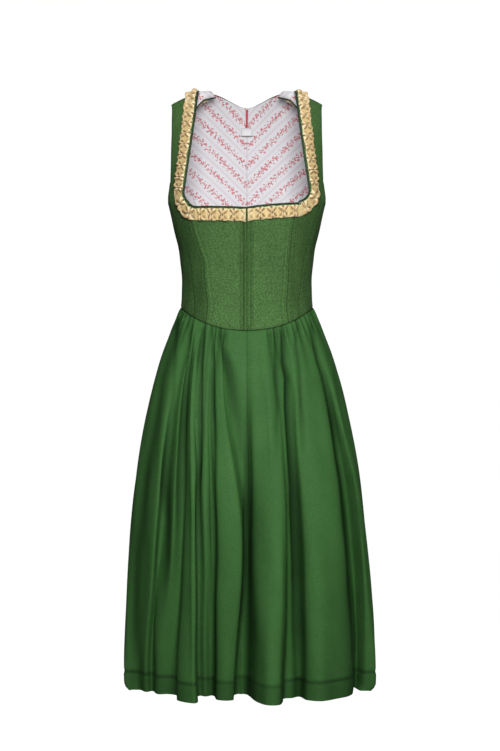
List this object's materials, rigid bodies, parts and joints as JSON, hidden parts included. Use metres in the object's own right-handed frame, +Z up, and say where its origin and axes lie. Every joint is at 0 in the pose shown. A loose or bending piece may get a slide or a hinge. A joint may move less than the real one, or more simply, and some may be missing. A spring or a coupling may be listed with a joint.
{
  "type": "dirndl dress",
  "caption": "Sleeveless midi dirndl with a square neckline edged in ruched gold trim, a seamed bodice, a printed lining and a gathered skirt, filled out as worn.",
  "frame": {"origin": "midway between the two shoulder straps, at the height of the undersides of the straps where a wearer's shoulders carry the dress", "axes": "+Z up the dress, -Y out of its front, +X to the wearer's left"},
  "size_m": [0.4757, 0.3435, 1.1399],
  "materials": {
    "bodice_cloth": "fir green matt twill of cotton and linen, firm, with fine diagonal ribs",
    "skirt_cloth": "fir green smooth cotton sateen with a soft sheen on the folds",
    "lining_print": "off-white cotton printed with red sprig stripes and pale pink lines, cut as chevrons about the centre back",
    "gold_trim": "champagne gold taffeta ribbon box pleated and pinched into frog-mouth ruching",
    "piping_cord": "very dark green satin piping",
    "label_tape": "blank white woven label tape",
    "zip_tape": "dark green woven zip tape with a spiral of nylon teeth"
  },
  "bodies": {
    "root": {"front_centre_left": "bodice_cloth", "front_side_left": "bodice_cloth", "side_left": "bodice_cloth", "back_side_left": "bodice_cloth", "back_centre_left": "bodice_cloth", "lining_back_left": "lining_print", "lining_back_side_left": "lining_print", "neck_piping_left": "piping_cord", "neck_trim_left": "gold_trim", "back_piping_left": "piping_cord", "back_trim_left": "gold_trim", "strap_turn_left": "lining_print", "turn_piping_left": "piping_cord", "turn_trim_left": "gold_trim", "front_centre_right": "bodice_cloth", "front_side_right": "bodice_cloth", "side_right": "bodice_cloth", "back_side_right": "bodice_cloth", "back_centre_right": "bodice_cloth", "lining_back_right": "lining_print", "lining_back_side_right": "lining_print", "neck_piping_right": "piping_cord", "neck_trim_right": "gold_trim", "back_piping_right": "piping_cord", "back_trim_right": "gold_trim", "strap_turn_right": "lining_print", "turn_piping_right": "piping_cord", "turn_trim_right": "gold_trim", "neck_label": "label_tape", "front_zip": "zip_tape", "skirt_front_right": "skirt_cloth", "skirt_front_left": "skirt_cloth", "skirt_back_left": "skirt_cloth", "skirt_back_right": "skirt_cloth"}
  },
  "joints": []
}
